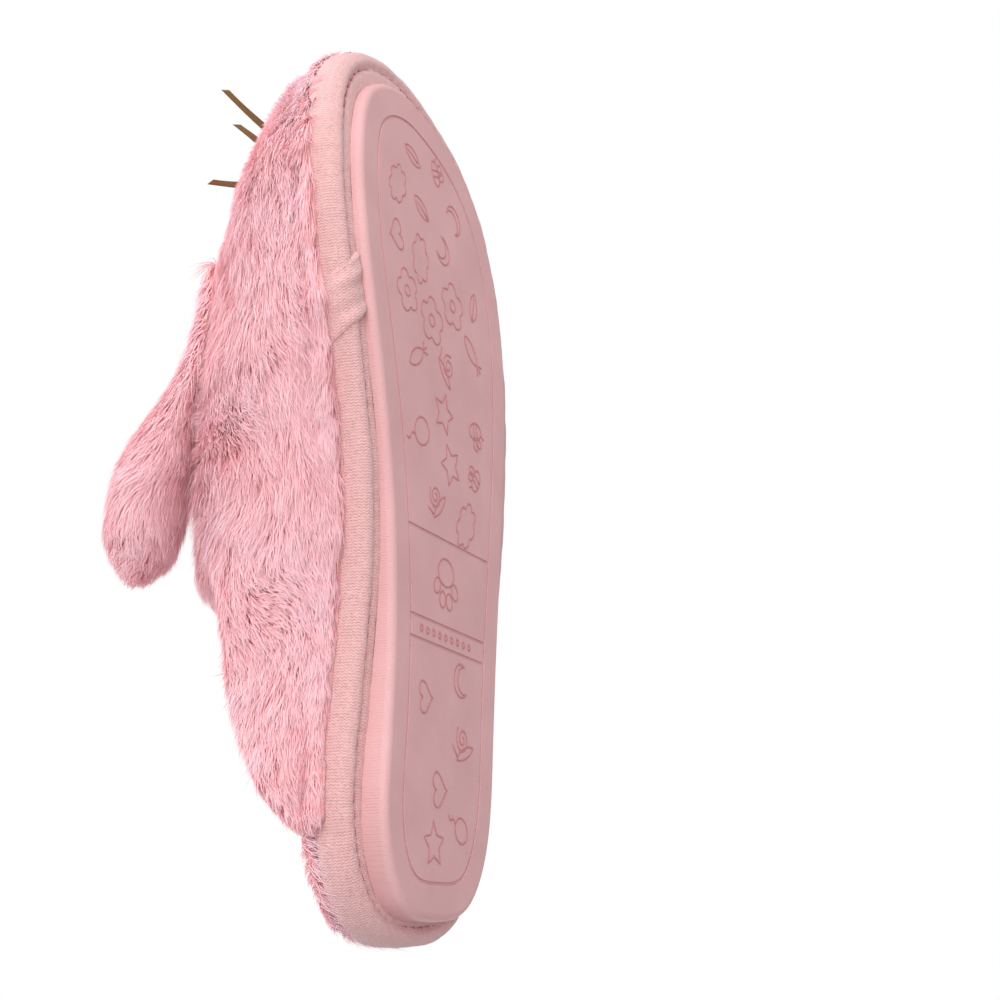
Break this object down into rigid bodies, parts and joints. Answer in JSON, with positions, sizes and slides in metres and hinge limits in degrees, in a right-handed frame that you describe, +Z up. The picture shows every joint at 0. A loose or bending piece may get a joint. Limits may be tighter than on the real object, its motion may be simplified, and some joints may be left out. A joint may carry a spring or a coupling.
{
  "type": "slipper",
  "caption": "Open-heel plush bunny slipper for a left foot, with a foam platform sole, fur upper, floppy ears and whiskers.",
  "frame": {"origin": "flat underside of the sole, below the middle of the slipper's length", "axes": "+Z up; +Y from the toe towards the heel; +X towards the little-toe (lateral) side"},
  "size_m": [0.1197, 0.2691, 0.0966],
  "materials": {
    "outsole_eva": "matte moulded EVA foam rubber",
    "board": "stiff fibre board",
    "foam": "closed-cell foam",
    "binding_fabric": "napped woven fabric, peach pink",
    "sock_plush": "short pink plush",
    "plush": "long-pile pink faux fur",
    "ear_plush": "pink faux fur, slightly shorter pile",
    "wadding": "white polyester wadding",
    "lining_fabric": "plain knitted lining",
    "nose_plastic": "flocked brown",
    "eye_plastic": "glossy black",
    "washer_plastic": "white moulded",
    "whisker_strip": "flat golden-brown strip"
  },
  "bodies": {
    "slipper": {"outsole": "outsole_eva", "insole_board": "board", "platform_foam": "foam", "footbed_foam": "foam", "binding_strip": "binding_fabric", "binding_lap": "binding_fabric", "sock_lining": "sock_plush", "upper_plush": "plush", "upper_padding": "wadding", "upper_lining": "lining_fabric", "nose": "nose_plastic", "eye_medial": "eye_plastic", "eye_washer_medial": "washer_plastic", "whisker_medial_front": "whisker_strip", "whisker_medial_middle": "whisker_strip", "whisker_medial_rear": "whisker_strip", "eye_lateral": "eye_plastic", "eye_washer_lateral": "washer_plastic", "whisker_lateral_front": "whisker_strip", "whisker_lateral_middle": "whisker_strip", "whisker_lateral_rear": "whisker_strip"},
    "ear_medial": {"ear_medial_front": "ear_plush", "ear_medial_back": "plush", "ear_medial_filling": "wadding"},
    "ear_lateral": {"ear_lateral_front": "ear_plush", "ear_lateral_back": "plush", "ear_lateral_filling": "wadding"}
  },
  "joints": [
    {"name": "ear_medial_hinge", "type": "hinge", "parent": "slipper", "child": "ear_medial", "pos_m": [-0.027, -0.07, 0.06491], "axis": [0.9272, 0, 0.3746], "range_deg": [0, 70], "stiffness_Nm_per_rad": 0.004},
    {"name": "ear_lateral_hinge", "type": "hinge", "parent": "slipper", "child": "ear_lateral", "pos_m": [0.017, -0.07, 0.06684], "axis": [0.9272, 0, -0.3746], "range_deg": [0, 70], "stiffness_Nm_per_rad": 0.004}
  ]
}
